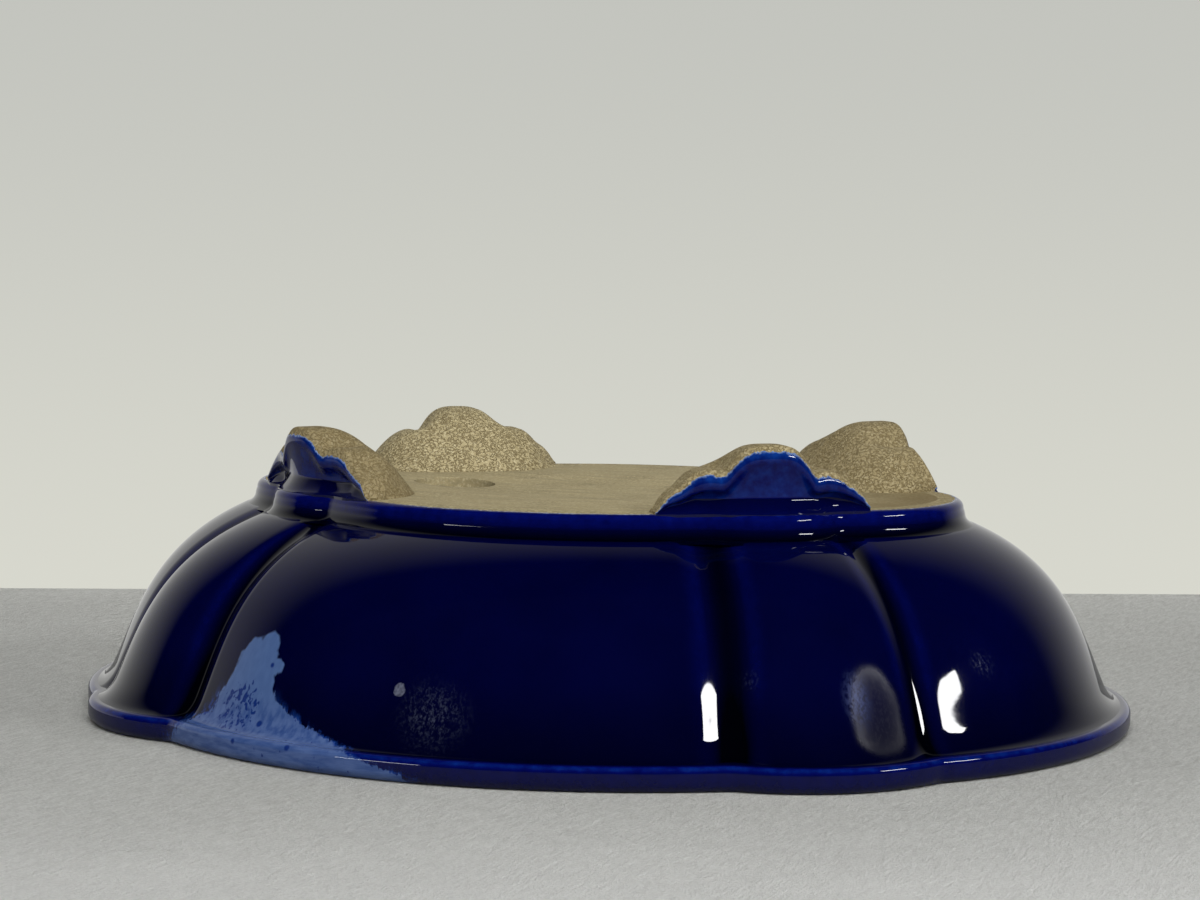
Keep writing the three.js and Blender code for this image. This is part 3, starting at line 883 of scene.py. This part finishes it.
wall_place = (-math.sin(view_turn) * wall_distance, math.cos(view_turn) * wall_distance, 3.0)
b, position = stage_plane("backdrop", wall_place, (math.radians(90), 0, view_turn))
up = b.axis(position, "Z")
painted = b.mix(b.grade(up, -0.03, 0.20), colour(0.69, 0.69, 0.62), colour(0.545, 0.552, 0.515))
fade = b.maths("POWER", b.minus(1.0, b.maths("DIVIDE", up, 0.60), True), 1.6)
# painted light: the wall glows for reflections and onto the pot, brightest low down and to the left
glow = b.times(b.times(fade, 0.72), b.grade(b.dot(position, to_right), 0.75, 0.10, 0.02, 1.0))
glow = b.put("ShaderNodeCombineXYZ", i0=glow, i1=glow, i2=b.times(glow, 0.97)).outputs[0]
seen = b.put("ShaderNodeLightPath").outputs["Is Camera Ray"]
lit = b.put("ShaderNodeEmission", Color=b.mix(seen, glow, painted), Strength=1.0)
back = b.put("ShaderNodeNewGeometry").outputs["Backfacing"]
clear = b.put("ShaderNodeBsdfTransparent")
b.finish(b.put("ShaderNodeMixShader", i0=back, i1=lit.outputs[0], i2=clear.outputs[0]))

# The light. A soft lamp high in front, a window to the right and a small lamp to the left of the camera.
# The clay and the cloth get a soft even light from all round as well, and the gloss a dark room with
# one pale side.
world = bpy.data.worlds.new("room")
bpy.context.scene.world = world
b = clean_tree(world)
direction = b.put("ShaderNodeTexCoord").outputs["Generated"]
pale_azimuth = math.radians(-108)
facing = b.dot(direction, (math.sin(pale_azimuth), -math.cos(pale_azimuth), 0))
pale = b.times(b.grade(facing, 0.80, 0.95), b.grade(b.axis(direction, "Z"), 0.50, 0.10))
room = b.mix(pale, colour(0.004, 0.004, 0.005), colour(0.36, 0.36, 0.35))
rays = b.put("ShaderNodeLightPath").outputs
room = b.mix(rays["Is Diffuse Ray"], room, colour(0.44, 0.44, 0.43))
room = b.mix(rays["Is Camera Ray"], room, colour(0.60, 0.605, 0.565))
b.finish(b.put("ShaderNodeBackground", Color=room, Strength=1.0), "ShaderNodeOutputWorld")


def lamp(name, azimuth, elevation, distance, width, height, power, in_gloss=True, in_matt=True):
    """A lamp of so many watts that faces the pot. The azimuth turns rightwards from the pot's front."""
    deselect_all()
    a, e = math.radians(azimuth), math.radians(elevation)
    away = Vector((math.sin(a) * math.cos(e), -math.cos(a) * math.cos(e), math.sin(e)))
    bpy.ops.object.light_add(type="AREA", location=away * distance)
    made = bpy.context.object
    made.name = name
    made.data.shape = "RECTANGLE"
    made.data.size = width
    made.data.size_y = height
    made.data.energy = power
    made.rotation_euler = away.to_track_quat("Z", "Y").to_euler()
    made.visible_glossy = in_gloss
    made.visible_diffuse = in_matt
    return made


lamp("overhead", 28, 46, 1.4, 1.1, 1.1, 21, in_gloss=False)
lamp("window_right", 87, 29.5, 1.5, 0.42, 0.12, 5.0)
lamp("lamp_left", -30, 9, 1.6, 0.55, 0.14, 3.2, in_matt=False)

# The camera, at the photograph's viewing angle: low in front of the pot and to its right, looking a little
# down through a long lens.
camera_place = (0.27674, -0.6426, 0.11854)
camera_tilt = math.radians(85.286)
camera_roll = math.radians(0.303)
camera_lens = 89.51
deselect_all()
bpy.ops.object.camera_add(location=camera_place)
camera = bpy.context.object
camera.rotation_mode = "QUATERNION"
turned = Matrix.Rotation(view_turn, 3, "Z") @ Matrix.Rotation(camera_tilt, 3, "X")
turned = turned @ Matrix.Rotation(camera_roll, 3, "Z")
camera.rotation_quaternion = turned.to_quaternion()
camera.data.lens = camera_lens
camera.data.sensor_width = 36
camera.data.clip_end = 50
bpy.context.scene.camera = camera
bpy.context.scene.view_settings.view_transform = "Standard"
